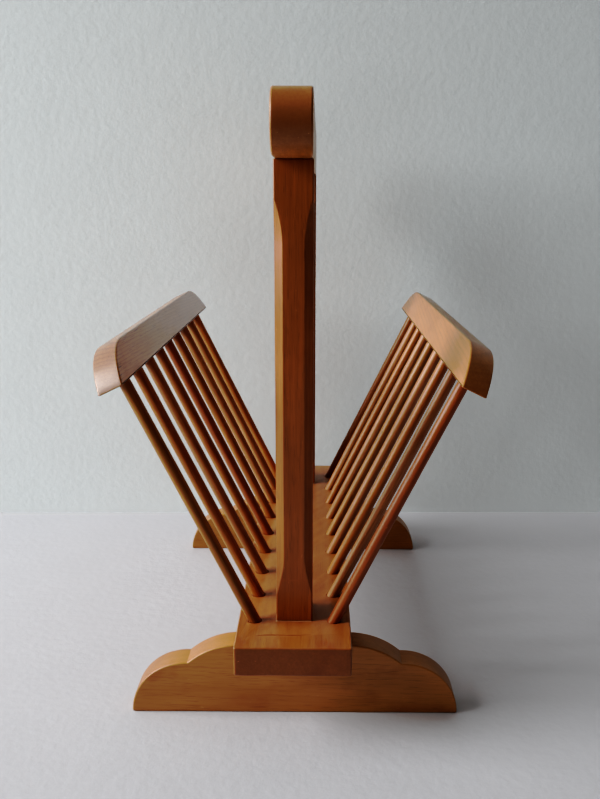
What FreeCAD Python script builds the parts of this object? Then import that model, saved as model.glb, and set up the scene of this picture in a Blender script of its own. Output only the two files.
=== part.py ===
import FreeCAD, Part
import math
import os

# Wooden magazine rack: a base board on two shaped feet carries two stop-chamfered uprights with a
# handle rail across their tops, and on each side a leaning row of spindles that ends in a cap rail.
# Millimetres. X is the width, Y the length, Z is up. The origin is the middle of the footprint.

# Driving dimensions: feet
FOOT_WIDTH = 253.0
FOOT_HEIGHT = 58.0
FOOT_THICKNESS = 21.0
FOOT_TOE_RADIUS = 42.5
FOOT_SHOULDER_RADIUS = 60.0
FOOT_STEP_FLAT = 2.0

# Driving dimensions: base board
BOARD_LENGTH = 406.0
BOARD_WIDTH = 84.5
BOARD_THICKNESS = 22.2
BOARD_EDGE_RADIUS = 1.2

# Driving dimensions: uprights
UPRIGHT_SIDE = 27.0
UPRIGHT_HEIGHT = 334.0
UPRIGHT_SPAN = 330.0
CHAMFER_LEG = 5.85
TOP_STOP_DROP = 26.0
TOP_STOP_LENGTH = 30.0
TOP_STOP_BULGE = (0.50, 0.62)
BOTTOM_STOP_RISE = 23.0
BOTTOM_STOP_LENGTH = 26.0
BOTTOM_STOP_BULGE = (0.55, 0.78)
TENON_SIDE = 14.0
TENON_LENGTH = 13.0

# Driving dimensions: handle rail
HANDLE_LENGTH = 414.0
HANDLE_HEIGHT = 41.7
HANDLE_THICKNESS = 26.5
HANDLE_EDGE_RADIUS = 1.8

# Driving dimensions: spindle rows and their cap rails
SPINDLES_PER_SIDE = 9
SPINDLE_PITCH = 41.0
SPINDLE_DIAMETER = 9.0
SPINDLE_LEAN = 25.8
SPINDLE_OFFSET = 29.8
SPINDLE_FREE_LENGTH = 206.0
SPINDLE_BOARD_DEPTH = 14.0
SPINDLE_RAIL_DEPTH = 13.0
RAIL_LENGTH = 400.0
RAIL_HEIGHT = 27.0
RAIL_THICKNESS = 18.5
RAIL_END_RUN = 50.0
RAIL_EDGE_RADIUS = 1.8

# Driving dimensions: slotted countersunk wood screws that hold each foot to the board
SCREW_SPACING = 52.0
SCREW_LENGTH = 44.0
SCREW_SHANK_DIAMETER = 4.5
SCREW_HEAD_DIAMETER = 9.0
SCREW_HEAD_HEIGHT = 3.2
SCREW_POINT_LENGTH = 5.0
SCREW_SLOT_WIDTH = 1.2
SCREW_SLOT_DEPTH = 1.4
SCREW_BOARD_GRIP = 15.0

# Clearances
GLUE_WELL = 1.0
SCREW_ACCESS_CLEARANCE = 1.0

# Largest gap between two numbers that count as equal
TOLERANCE = 1e-6

# Derived values
BOARD_BOTTOM = FOOT_HEIGHT
BOARD_TOP = BOARD_BOTTOM + BOARD_THICKNESS
HANDLE_BOTTOM = BOARD_TOP + UPRIGHT_HEIGHT
UPRIGHT_Y = (UPRIGHT_SPAN - UPRIGHT_SIDE) / 2.0
LEAN = math.radians(SPINDLE_LEAN)
SCREW_HEAD_Z = BOARD_BOTTOM + SCREW_BOARD_GRIP - SCREW_LENGTH

ALONG_Y = FreeCAD.Vector(0.0, 1.0, 0.0)
UP = FreeCAD.Vector(0.0, 0.0, 1.0)
SIDES = (("left", -1.0), ("right", 1.0))
ENDS = (("front", -1.0), ("rear", 1.0))


def vec(x, y, z):
    return FreeCAD.Vector(x, y, z)


def line(start, end):
    return Part.LineSegment(start, end).toShape()


def arc(start, middle, end):
    return Part.Arc(start, middle, end).toShape()


def prism(edges, direction):
    """Closed outline, swept straight along one direction."""
    return Part.Face(Part.Wire(edges)).extrude(direction)


def centred_box(size_x, size_y, size_z, bottom):
    """Box whose bottom face is centred on the point given."""
    corner = vec(bottom.x - size_x / 2.0, bottom.y - size_y / 2.0, bottom.z)
    return Part.makeBox(size_x, size_y, size_z, corner)


def round_edges(shape, radius, chosen):
    """Round the edges that the test function picks out."""
    edges = [edge for edge in shape.Edges if chosen(edge)]
    return shape.makeFillet(radius, edges)


def save(name, shape):
    shape.exportStep("parts/" + name + ".step")


# Places shared by pieces that meet

def lean_axis(side):
    """Unit vector up along the spindles of one side."""
    return vec(side * math.sin(LEAN), 0.0, math.cos(LEAN))


def lean_normal(side):
    """Unit vector out of the spindle row, square to the spindles."""
    return vec(side * math.cos(LEAN), 0.0, -math.sin(LEAN))


def spindle_positions():
    """Places of one row's spindles along the board."""
    first = -(SPINDLES_PER_SIDE - 1) * SPINDLE_PITCH / 2.0
    return [first + index * SPINDLE_PITCH for index in range(SPINDLES_PER_SIDE)]


def spindle_root(side, y):
    """Point where a spindle's centre line leaves the top of the board."""
    return vec(side * SPINDLE_OFFSET, y, BOARD_TOP)


def spindle_rod(side, y, below, above):
    """Round rod on a spindle's centre line, from below the board's top to above it."""
    start = spindle_root(side, y) - lean_axis(side) * below
    return Part.makeCylinder(SPINDLE_DIAMETER / 2.0, below + above, start, lean_axis(side))


def screw_places(y):
    return [vec(x, y, SCREW_HEAD_Z) for x in (-SCREW_SPACING / 2.0, SCREW_SPACING / 2.0)]


# Feet

def foot_outline(y):
    """Stepped outline: a quarter-round toe, a small flat and a larger shoulder up to the board."""
    half = FOOT_WIDTH / 2.0
    toe_centre = half - FOOT_TOE_RADIUS
    shoulder_drop = FOOT_HEIGHT - FOOT_TOE_RADIUS
    shoulder_centre_z = FOOT_HEIGHT - FOOT_SHOULDER_RADIUS
    reach = FOOT_SHOULDER_RADIUS - shoulder_drop
    shoulder_run = math.sqrt(FOOT_SHOULDER_RADIUS ** 2 - reach ** 2)
    shoulder_turn = math.acos(reach / FOOT_SHOULDER_RADIUS)
    top = max(toe_centre - shoulder_run - FOOT_STEP_FLAT, BOARD_WIDTH / 2.0)
    step = top + shoulder_run
    edges = [line(vec(-half, y, 0.0), vec(half, y, 0.0))]
    for side in (1.0, -1.0):
        toe_start = vec(side * half, y, 0.0)
        toe_middle = vec(side * (toe_centre + FOOT_TOE_RADIUS * math.cos(math.pi / 4.0)), y,
                         FOOT_TOE_RADIUS * math.sin(math.pi / 4.0))
        toe_end = vec(side * toe_centre, y, FOOT_TOE_RADIUS)
        step_point = vec(side * step, y, FOOT_TOE_RADIUS)
        shoulder_middle = vec(side * (top + FOOT_SHOULDER_RADIUS * math.sin(shoulder_turn / 2.0)), y,
                              shoulder_centre_z + FOOT_SHOULDER_RADIUS * math.cos(shoulder_turn / 2.0))
        shoulder_end = vec(side * top, y, FOOT_HEIGHT)
        half_edges = [arc(toe_start, toe_middle, toe_end),
                      line(toe_end, step_point),
                      arc(step_point, shoulder_middle, shoulder_end)]
        if side > 0.0:
            edges += half_edges
            edges.append(line(shoulder_end, vec(-top, y, FOOT_HEIGHT)))
        else:
            edges += half_edges[::-1]
    return edges


def make_foot(end):
    y = end * UPRIGHT_Y
    start = y - FOOT_THICKNESS / 2.0
    foot = prism(foot_outline(start), ALONG_Y * FOOT_THICKNESS)
    for place in screw_places(y):
        foot = foot.cut(screw_bore(place))
    return foot


# Base board

def make_board():
    board = centred_box(BOARD_WIDTH, BOARD_LENGTH, BOARD_THICKNESS, vec(0.0, 0.0, BOARD_BOTTOM))
    board = round_edges(board, BOARD_EDGE_RADIUS, lambda edge: True)
    for _, side in SIDES:
        for y in spindle_positions():
            board = board.cut(spindle_rod(side, y, SPINDLE_BOARD_DEPTH + GLUE_WELL, SPINDLE_DIAMETER))
    for _, end in ENDS:
        y = end * UPRIGHT_Y
        mortise_bottom = BOARD_TOP - TENON_LENGTH - GLUE_WELL
        mortise = centred_box(TENON_SIDE, TENON_SIDE, TENON_LENGTH + GLUE_WELL, vec(0.0, y, mortise_bottom))
        board = board.cut(mortise)
        for place in screw_places(y):
            board = board.cut(make_screw_body(place))
    return board


# Uprights

def chamfer_cutter(end, side_x, side_y):
    """Long cutter for one arris: its depth runs out to nothing at a curved stop at both ends.

    Each bulge gives a point of its stop, as a share of the stop's length and of the full depth.
    """
    diagonal = vec(side_x, side_y, 0.0).normalize()
    across = vec(-side_y, side_x, 0.0).normalize()
    arris = vec(side_x * UPRIGHT_SIDE / 2.0, end * UPRIGHT_Y + side_y * UPRIGHT_SIDE / 2.0, 0.0)
    depth = CHAMFER_LEG / math.sqrt(2.0)
    low = BOARD_TOP + BOTTOM_STOP_RISE
    high = HANDLE_BOTTOM - TOP_STOP_DROP
    reach = CHAMFER_LEG * 2.0
    top_run, top_depth = TOP_STOP_BULGE
    bottom_run, bottom_depth = BOTTOM_STOP_BULGE
    full_low = low + BOTTOM_STOP_LENGTH
    full_high = high - TOP_STOP_LENGTH

    def at(inward, z):
        return arris - diagonal * inward + vec(0.0, 0.0, z) - across * reach

    edges = [line(at(0.0, low), at(-depth, low)),
             line(at(-depth, low), at(-depth, high)),
             line(at(-depth, high), at(0.0, high)),
             arc(at(0.0, high), at(depth * top_depth, high - TOP_STOP_LENGTH * top_run), at(depth, full_high)),
             line(at(depth, full_high), at(depth, full_low)),
             arc(at(depth, full_low), at(depth * bottom_depth, full_low - BOTTOM_STOP_LENGTH * bottom_run),
                 at(0.0, low))]
    return prism(edges, across * reach * 2.0)


def make_upright(end):
    foot_point = vec(0.0, end * UPRIGHT_Y, BOARD_TOP)
    upright = centred_box(UPRIGHT_SIDE, UPRIGHT_SIDE, UPRIGHT_HEIGHT, foot_point)
    for side_x in (-1.0, 1.0):
        for side_y in (-1.0, 1.0):
            upright = upright.cut(chamfer_cutter(end, side_x, side_y))
    tenon_bottom = foot_point - UP * TENON_LENGTH
    tenon_height = UPRIGHT_HEIGHT + 2.0 * TENON_LENGTH
    tenons = centred_box(TENON_SIDE, TENON_SIDE, tenon_height, tenon_bottom)
    return upright.fuse(tenons).removeSplitter()


# Handle rail

def make_handle():
    """Bar with full half-round ends, mortised underneath for the two uprights."""
    radius = HANDLE_HEIGHT / 2.0
    straight = HANDLE_LENGTH / 2.0 - radius
    x = -HANDLE_THICKNESS / 2.0
    top = HANDLE_BOTTOM + HANDLE_HEIGHT
    middle = HANDLE_BOTTOM + radius
    edges = [line(vec(x, -straight, HANDLE_BOTTOM), vec(x, straight, HANDLE_BOTTOM)),
             arc(vec(x, straight, HANDLE_BOTTOM), vec(x, straight + radius, middle), vec(x, straight, top)),
             line(vec(x, straight, top), vec(x, -straight, top)),
             arc(vec(x, -straight, top), vec(x, -straight - radius, middle), vec(x, -straight, HANDLE_BOTTOM))]
    handle = prism(edges, vec(HANDLE_THICKNESS, 0.0, 0.0))
    outer = HANDLE_THICKNESS / 2.0
    handle = round_edges(handle, HANDLE_EDGE_RADIUS,
                         lambda edge: all(abs(abs(v.X) - outer) < TOLERANCE for v in edge.Vertexes)
                         and abs(edge.BoundBox.XLength) < TOLERANCE)
    for _, end in ENDS:
        mortise = centred_box(TENON_SIDE, TENON_SIDE, TENON_LENGTH + GLUE_WELL,
                              vec(0.0, end * UPRIGHT_Y, HANDLE_BOTTOM))
        handle = handle.cut(mortise)
    return handle


# Spindles and cap rails

def make_spindle(side, y):
    return spindle_rod(side, y, SPINDLE_BOARD_DEPTH, SPINDLE_FREE_LENGTH + SPINDLE_RAIL_DEPTH)


def make_cap_rail(side):
    """Bar square to the spindles, with ends that curve down from the top to a sharp lower corner."""
    axis = lean_axis(side)
    normal = lean_normal(side)
    origin = spindle_root(side, 0.0) + axis * SPINDLE_FREE_LENGTH - normal * (RAIL_THICKNESS / 2.0)
    half = RAIL_LENGTH / 2.0
    radius = (RAIL_END_RUN ** 2 + RAIL_HEIGHT ** 2) / (2.0 * RAIL_HEIGHT)
    turn = math.asin(RAIL_END_RUN / radius)
    flat = half - RAIL_END_RUN
    middle_run = radius * math.sin(turn / 2.0)
    middle_height = RAIL_HEIGHT - radius * (1.0 - math.cos(turn / 2.0))

    def at(y, height):
        return origin + vec(0.0, y, 0.0) + axis * height

    edges = [line(at(-half, 0.0), at(half, 0.0)),
             arc(at(half, 0.0), at(flat + middle_run, middle_height), at(flat, RAIL_HEIGHT)),
             line(at(flat, RAIL_HEIGHT), at(-flat, RAIL_HEIGHT)),
             arc(at(-flat, RAIL_HEIGHT), at(-flat - middle_run, middle_height), at(-half, 0.0))]
    rail = prism(edges, normal * RAIL_THICKNESS)
    top_edges = [edge for edge in rail.Edges if edge_is_upper_arris(edge, side, origin, axis)]
    rail = rail.makeFillet(RAIL_EDGE_RADIUS, top_edges)
    for y in spindle_positions():
        socket_start = spindle_root(side, y) + axis * SPINDLE_FREE_LENGTH
        socket = Part.makeCylinder(SPINDLE_DIAMETER / 2.0, SPINDLE_RAIL_DEPTH + GLUE_WELL, socket_start, axis)
        rail = rail.cut(socket)
    return rail


def edge_is_upper_arris(edge, side, origin, axis):
    """True for the long upper edges of a cap rail and the arcs that continue them."""
    heights = [(vertex.Point - origin).dot(axis) for vertex in edge.Vertexes]
    lengths = [vertex.Point.y for vertex in edge.Vertexes]
    return max(heights) > RAIL_HEIGHT - TOLERANCE and abs(lengths[0] - lengths[-1]) > TOLERANCE


# Screws

def make_screw_body(place):
    """Countersunk head, plain shank and point, pointing up from the place given."""
    head = SCREW_HEAD_DIAMETER / 2.0
    shank = SCREW_SHANK_DIAMETER / 2.0
    outline = Part.makePolygon([place,
                                place + vec(head, 0.0, 0.0),
                                place + vec(shank, 0.0, SCREW_HEAD_HEIGHT),
                                place + vec(shank, 0.0, SCREW_LENGTH - SCREW_POINT_LENGTH),
                                place + vec(0.0, 0.0, SCREW_LENGTH),
                                place])
    return Part.Face(outline).revolve(place, UP, 360.0)


def make_screw(place):
    slot = centred_box(SCREW_SLOT_WIDTH, SCREW_HEAD_DIAMETER, SCREW_SLOT_DEPTH, place)
    return make_screw_body(place).cut(slot)


def screw_bore(place):
    """Screw hole with a wider hole below it that lets the driver in."""
    access_radius = SCREW_HEAD_DIAMETER / 2.0 + SCREW_ACCESS_CLEARANCE
    access = Part.makeCylinder(access_radius, place.z, vec(place.x, place.y, 0.0), UP)
    return make_screw_body(place).fuse(access)


def make_foot_screws():
    places = [place for _, end in ENDS for place in screw_places(end * UPRIGHT_Y)]
    return Part.makeCompound([make_screw(place) for place in places])


def main():
    os.makedirs("parts", exist_ok=True)
    save("base_board", make_board())
    save("handle_rail", make_handle())
    save("foot_screws", make_foot_screws())
    for name, end in ENDS:
        save(name + "_foot", make_foot(end))
        save(name + "_upright", make_upright(end))
    for name, side in SIDES:
        save(name + "_cap_rail", make_cap_rail(side))
        for index, y in enumerate(spindle_positions()):
            save(name + "_spindle_" + str(index + 1), make_spindle(side, y))


main()
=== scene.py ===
"""Looks of a wooden magazine rack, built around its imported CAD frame.

Every wooden piece is cut again here as a maker would leave it: eased arrises with small knocks, drilled
sockets, and a solid wood figure that runs through the piece, so that its faces, edges and end grain agree.
All sizes are in metres, and every place comes from the frame.
"""

import logging
import math
import random
from collections import Counter
from dataclasses import dataclass, field
from enum import Enum
from typing import Sequence

import bpy
from mathutils import Matrix, Vector, noise


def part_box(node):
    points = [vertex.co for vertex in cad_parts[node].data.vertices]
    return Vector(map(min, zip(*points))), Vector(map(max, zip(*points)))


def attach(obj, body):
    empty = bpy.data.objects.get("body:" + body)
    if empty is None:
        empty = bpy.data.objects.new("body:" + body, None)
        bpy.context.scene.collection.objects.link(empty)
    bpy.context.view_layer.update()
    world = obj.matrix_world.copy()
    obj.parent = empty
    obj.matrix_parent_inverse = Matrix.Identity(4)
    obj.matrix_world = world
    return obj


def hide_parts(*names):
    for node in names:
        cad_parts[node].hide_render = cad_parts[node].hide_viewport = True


Triple = tuple[float, float, float]
Colour = Triple
Point = tuple[float, float]

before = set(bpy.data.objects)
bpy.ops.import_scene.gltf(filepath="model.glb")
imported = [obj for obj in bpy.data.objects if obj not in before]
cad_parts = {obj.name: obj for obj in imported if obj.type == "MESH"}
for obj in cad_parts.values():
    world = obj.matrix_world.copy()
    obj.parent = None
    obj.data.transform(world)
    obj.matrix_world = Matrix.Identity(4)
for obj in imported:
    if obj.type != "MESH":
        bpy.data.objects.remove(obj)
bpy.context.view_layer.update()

log = logging.getLogger("magazine_rack")

BODY = "root"
MM = 0.001
UP = Vector((0.0, 0.0, 1.0))
TO_RIGHT = Vector((1.0, 0.0, 0.0))
TO_REAR = Vector((0.0, 1.0, 0.0))
DRILL_SIDES = 32
QUARTER_TURNS = ((1, 0), (0, 1), (-1, 0), (0, -1))


class Slot(Enum):
    """Material slots of the record; each piece keeps one, and the screw slot names the steel finish."""

    FRAME = "frame_wood"
    RAIL = "rail_wood"
    SPINDLE = "spindle_wood"
    SCREW = "screw_steel"


class End(Enum):
    """The two ends of the rack."""

    FRONT = "front"
    REAR = "rear"


class Side(Enum):
    """The two sides of the rack, each with its sign on the first axis."""

    LEFT = -1.0
    RIGHT = 1.0


class SpindleTone(Enum):
    """Wood colours that the spindles come in."""

    TAN = (0.40, 0.178, 0.066)
    AMBER = (0.37, 0.142, 0.032)
    OLIVE = (0.33, 0.145, 0.036)
    RED = (0.32, 0.100, 0.024)


class Shade(Enum):
    """What each feature of the figure multiplies the red, green and blue of the wood by."""

    DARK = (0.50, 0.38, 0.28)
    # Darkens the open pores, and is also the painted shade in corners and joints.
    DEEP = (0.18, 0.12, 0.09)
    DULL = (0.92, 0.89, 0.82)
    WARM = (1.13, 1.15, 1.28)
    STAINED = (0.60, 0.36, 0.30)
    # Arrises: paler worn wood, with a painted highlight of the edges catching the light.
    RUBBED = (1.20, 1.20, 1.45)
    SCUFFED = (1.30, 1.45, 2.00)


# ---------------------------------------------------------------------------------------------
# Materials
# ---------------------------------------------------------------------------------------------


class NodeSheet:
    """Short way to lay out the nodes of one material."""

    def __init__(self, name: str) -> None:
        """Start an empty node tree with one Principled shader wired to the output.

        Args:
            name: Name of the new material.
        """
        self.material = bpy.data.materials.new(name)
        self.material.use_nodes = True
        self.tree = self.material.node_tree
        self.tree.nodes.clear()
        self.output = self.tree.nodes.new("ShaderNodeOutputMaterial")
        self.shader = self.tree.nodes.new("ShaderNodeBsdfPrincipled")
        self.join(self.shader.outputs["BSDF"], self.output.inputs["Surface"])

    def join(self, source: bpy.types.NodeSocket, target: bpy.types.NodeSocket) -> None:
        """Link one socket to another."""
        self.tree.links.new(source, target)

    def feed(self, target: bpy.types.NodeSocket, value: object) -> None:
        """Link the value to the socket, or set it there if it is a plain number or vector.

        Args:
            target: Input socket to fill.
            value: Output socket, number or tuple.
        """
        if isinstance(value, bpy.types.NodeSocket):
            self.join(value, target)
        else:
            target.default_value = value

    def attribute(self, name: str, output: str) -> bpy.types.NodeSocket:
        """Read a value stored on the mesh.

        Args:
            name: Name of the mesh attribute.
            output: Which output of the Attribute node to use, such as "Vector" or "Fac".

        Returns:
            The output socket.
        """
        node = self.tree.nodes.new("ShaderNodeAttribute")
        node.attribute_name = name
        return node.outputs[output]

    def maths(self, operation: str, first: object, second: object = 0.0,
              clamp: bool = False) -> bpy.types.NodeSocket:
        """Combine two numbers.

        Args:
            operation: Operation of the Math node.
            first: First number or socket.
            second: Second number or socket.
            clamp: Whether the result is held between 0 and 1.

        Returns:
            The result socket.
        """
        node = self.tree.nodes.new("ShaderNodeMath")
        node.operation = operation
        node.use_clamp = clamp
        self.feed(node.inputs[0], first)
        self.feed(node.inputs[1], second)
        return node.outputs[0]

    def vector(self, operation: str, first: object, second: object,
               output: str = "Vector") -> bpy.types.NodeSocket:
        """Combine two vectors.

        Args:
            operation: Operation of the Vector Math node.
            first: First vector or socket.
            second: Second vector or socket.
            output: "Vector" or "Value".

        Returns:
            The result socket.
        """
        node = self.tree.nodes.new("ShaderNodeVectorMath")
        node.operation = operation
        self.feed(node.inputs[0], first)
        self.feed(node.inputs[1], second)
        return node.outputs[output]

    def noise(self, place: bpy.types.NodeSocket, stretch: Triple, detail: float,
              output: str = "Fac") -> bpy.types.NodeSocket:
        """Noise that is stretched differently along each direction of the wood.

        Args:
            place: Position in the wood.
            stretch: Cycles per metre along the grain and across it.
            detail: Octaves of finer noise.
            output: "Fac" or "Color".

        Returns:
            The noise socket.
        """
        node = self.tree.nodes.new("ShaderNodeTexNoise")
        node.inputs["Scale"].default_value = 1.0
        node.inputs["Detail"].default_value = detail
        self.join(self.vector("MULTIPLY", place, stretch), node.inputs["Vector"])
        return node.outputs[output]

    def wander(self, place: bpy.types.NodeSocket, stretch: Triple, detail: float,
               reach: Triple) -> bpy.types.NodeSocket:
        """Noise that moves a place to and fro.

        Args:
            place: Position in the wood.
            stretch: Cycles per metre along the grain and across it.
            detail: Octaves of finer noise.
            reach: Twice the furthest move along each direction, in metres.

        Returns:
            The move, as a vector.
        """
        move = self.noise(place, stretch, detail, "Color")
        move = self.vector("SUBTRACT", move, (0.5, 0.5, 0.5))
        return self.vector("MULTIPLY", move, reach)

    def ramp(self, factor: object, stops: Sequence[Point]) -> bpy.types.NodeSocket:
        """Reshape a number with a ramp of grey stops.

        Args:
            factor: Number to reshape.
            stops: Pairs of position and value.

        Returns:
            The reshaped number.
        """
        node = self.tree.nodes.new("ShaderNodeValToRGB")
        node.color_ramp.interpolation = "EASE"
        while len(node.color_ramp.elements) < len(stops):
            node.color_ramp.elements.new(1.0)
        for element, (position, value) in zip(node.color_ramp.elements, stops):
            element.position = position
            element.color = (value, value, value, 1.0)
        self.feed(node.inputs["Fac"], factor)
        return node.outputs["Color"]

    def blend(self, factor: object, first: object, second: object) -> bpy.types.NodeSocket:
        """Mix two colours.

        Args:
            factor: Share of the second colour.
            first: First colour, as a socket or a tuple.
            second: Second colour, as a socket or a tuple.

        Returns:
            The mixed colour.
        """
        node = self.tree.nodes.new("ShaderNodeMix")
        node.data_type = "RGBA"
        node.clamp_factor = True
        self.feed(node.inputs["Factor"], factor)
        for socket, value in ((node.inputs["A"], first), (node.inputs["B"], second)):
            if isinstance(value, tuple):
                value = (*value, 1.0)
            self.feed(socket, value)
        return node.outputs["Result"]

    def lay(self, colour: object, share: object, depth: object, tint: Colour) -> bpy.types.NodeSocket:
        """Lay a tint over a colour.

        Args:
            colour: Colour underneath.
            share: Where the tint lies, from 0 to 1.
            depth: How much of the tint shows where it lies, as a number or a socket.
            tint: Colour that is laid over it.

        Returns:
            The mixed colour.
        """
        return self.blend(self.maths("MULTIPLY", share, depth), colour, tint)

    def bump(self, height: bpy.types.NodeSocket, strength: float, distance: float) -> None:
        """Feed a height into the shader's normal.

        Args:
            height: Height socket.
            strength: Strength of the bump.
            distance: Height in metres that a value of 1 stands for.
        """
        node = self.tree.nodes.new("ShaderNodeBump")
        node.inputs["Strength"].default_value = strength
        node.inputs["Distance"].default_value = distance
        self.join(height, node.inputs["Height"])
        self.join(node.outputs["Normal"], self.shader.inputs["Normal"])
        self.join(node.outputs["Normal"], self.shader.inputs["Coat Normal"])


@dataclass(frozen=True)
class Pattern:
    """Noise drawn out along the grain, with its contrast set by grey stops."""

    along: float
    across: float
    detail: float
    stops: tuple[Point, Point]

    def draw(self, sheet: NodeSheet, grain: bpy.types.NodeSocket) -> bpy.types.NodeSocket:
        """Reshaped noise of the pattern in the wood."""
        return sheet.ramp(sheet.noise(grain, (self.along, self.across, self.across), self.detail), self.stops)


# Cycles per metre of plain noise in the wood, along the grain and across it.
DRIFT_STRETCH = (2.4, 10.0, 10.0)
RIPPLE_STRETCH = (18.0, 60.0, 60.0)
FIBRE_STRETCH = (11.0, 620.0, 620.0)
HAIR_STRETCH = (34.0, 2100.0, 2100.0)
# Noise of the lighter arrises, which are partly wear and partly painted highlight.
RUB_AND_HIGHLIGHT_STRETCH = (60.0, 160.0, 160.0)
GLOSS_STRETCH = (16.0, 45.0, 45.0)
HOLLOW_STRETCH = (22.0, 60.0, 60.0)

BLOTCHES = Pattern(9.0, 30.0, 3.0, ((0.32, 0.0), (0.68, 1.0)))
STREAKS = Pattern(6.0, 180.0, 2.0, ((0.34, 1.0), (0.62, 0.0)))
STAINS = Pattern(28.0, 40.0, 3.0, ((0.56, 0.0), (0.74, 1.0)))
SPECKLE = Pattern(300.0, 520.0, 3.0, ((0.36, 1.0), (0.62, 0.0)))
PORES = Pattern(75.0, 1900.0, 1.0, ((0.60, 0.0), (0.70, 1.0)))
SCUFFS = Pattern(160.0, 420.0, 2.0, ((0.72, 0.0), (0.78, 0.5)))
THREAD_STOPS = ((0.30, 1.0), (0.70, 0.0))
LATE_WOOD_STOPS = ((0.0, 0.0), (0.45, 0.15), (0.82, 1.0), (1.0, 0.0))
# Stops of the painted shade in corners and joints.
CREVICE_SHADE_STOPS = ((0.05, 0.75), (0.55, 0.0))


@dataclass(frozen=True)
class Relief:
    """How far each feature of the wood stands up or sinks in."""

    fibres: float = 0.55
    hairs: float = 0.25
    pores: float = 0.5
    hollows: float = 1.6
    strength: float = 0.30
    height: float = 0.25 * MM


@dataclass(frozen=True)
class WoodFinish:
    """Varnished hardwood: figure, streaks, fibres and stains in the solid, under a satin coat."""

    name: str
    colour: Colour
    ring_spacing: float = 2.6 * MM
    ring_depth: float = 0.14
    streak_depth: float = 0.20
    fibre_depth: float = 0.22
    pore_depth: float = 0.30
    stain_depth: float = 0.35
    end_depth: float = 0.55
    end_speckle: float = 0.30
    end_calm: float = 0.75
    # How much lighter the arrises are, partly from wear and partly as a painted highlight.
    wear_and_highlight_depth: float = 0.35
    roughness: float = 0.44
    roughness_change: float = 0.22
    end_roughness: float = 0.12
    coat: float = 0.32
    coat_roughness: float = 0.30
    # How far the painted shade in corners and joints reaches.
    shade_reach: float = 9.0 * MM
    relief: Relief = Relief()

    def tone(self, shade: Shade) -> Colour:
        """Colour of the wood in one shade."""
        red, green, blue = shade.value
        return self.colour[0] * red, self.colour[1] * green, self.colour[2] * blue

    def ring_lines(self, sheet: NodeSheet, grain: bpy.types.NodeSocket) -> bpy.types.NodeSocket:
        """Dark late-wood lines, as distances from the heart of the tree.

        Args:
            sheet: Node sheet to add to.
            grain: Position in the wood.

        Returns:
            A number that is 1 on the lines.
        """
        taper = 0.035
        drift = sheet.wander(grain, DRIFT_STRETCH, 2.0, (20.0 * MM, 16.0 * MM, 16.0 * MM))
        ripple = sheet.wander(grain, RIPPLE_STRETCH, 1.0, (0.0, 1.4 * MM, 1.4 * MM))
        bent = sheet.vector("ADD", sheet.vector("ADD", grain, drift), ripple)
        from_heart = sheet.vector("MULTIPLY", bent, (taper, 1.0, 1.0))
        reach = sheet.vector("LENGTH", from_heart, (0.0, 0.0, 0.0), "Value")
        rings = sheet.maths("MULTIPLY", reach, 1.0 / self.ring_spacing)
        return sheet.ramp(sheet.maths("FRACT", rings), LATE_WOOD_STOPS)

    def figure(self, sheet: NodeSheet, grain: bpy.types.NodeSocket, end: bpy.types.NodeSocket,
               fibres: bpy.types.NodeSocket, pores: bpy.types.NodeSocket) -> bpy.types.NodeSocket:
        """Colour of the bare wood: blotches, rings, streaks, fibres, pores and stains.

        Args:
            sheet: Node sheet to add to.
            grain: Position in the wood.
            end: 1 on end grain.
            fibres: Noise along the fibres.
            pores: 1 in the open pores.

        Returns:
            The colour.
        """
        dark = self.tone(Shade.DARK)
        colour = sheet.blend(BLOTCHES.draw(sheet, grain), self.tone(Shade.DULL), self.tone(Shade.WARM))
        side_grain = sheet.maths("SUBTRACT", 1.0, sheet.maths("MULTIPLY", end, self.end_calm))
        rings = sheet.maths("MULTIPLY", self.ring_lines(sheet, grain), self.ring_depth)
        colour = sheet.lay(colour, rings, side_grain, dark)
        colour = sheet.lay(colour, STREAKS.draw(sheet, grain), self.streak_depth, dark)
        colour = sheet.lay(colour, sheet.ramp(fibres, THREAD_STOPS), self.fibre_depth, dark)
        colour = sheet.lay(colour, pores, self.pore_depth, self.tone(Shade.DEEP))
        colour = sheet.lay(colour, STAINS.draw(sheet, grain), self.stain_depth, self.tone(Shade.STAINED))
        speckle = SPECKLE.draw(sheet, grain)
        colour = sheet.lay(colour, speckle, sheet.maths("MULTIPLY", end, self.end_speckle), dark)
        return sheet.lay(colour, end, self.end_depth, dark)

    def build(self) -> bpy.types.Material:
        """Make the material.

        Returns:
            The finished material.
        """
        sheet = NodeSheet(self.name)
        grain = sheet.attribute("grain", "Vector")
        edge = sheet.attribute("wear", "Fac")
        end = sheet.attribute("end_grain", "Fac")
        fibres = sheet.noise(grain, FIBRE_STRETCH, 3.0)
        hairs = sheet.noise(grain, HAIR_STRETCH, 2.0)
        pores = PORES.draw(sheet, grain)
        colour = self.figure(sheet, grain, end, fibres, pores)

        # Arrises lighten: partly wear, partly a painted highlight of the edges catching the light.
        wear_and_highlight_at_mean_noise = self.wear_and_highlight_depth * 2.0
        rubbed_and_highlit = sheet.maths("MULTIPLY", edge, sheet.noise(grain, RUB_AND_HIGHLIGHT_STRETCH, 2.0))
        rubbed_and_highlit = sheet.maths("MULTIPLY", rubbed_and_highlit, wear_and_highlight_at_mean_noise, clamp=True)
        colour = sheet.blend(rubbed_and_highlit, colour, self.tone(Shade.RUBBED))
        colour = sheet.blend(SCUFFS.draw(sheet, grain), colour, self.tone(Shade.SCUFFED))
        # Painted shade: corners and joints darken, from ambient occlusion.
        colour = sheet.blend(self.painted_crevice_shade(sheet), colour, self.tone(Shade.DEEP))
        sheet.join(colour, sheet.shader.inputs["Base Color"])

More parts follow.
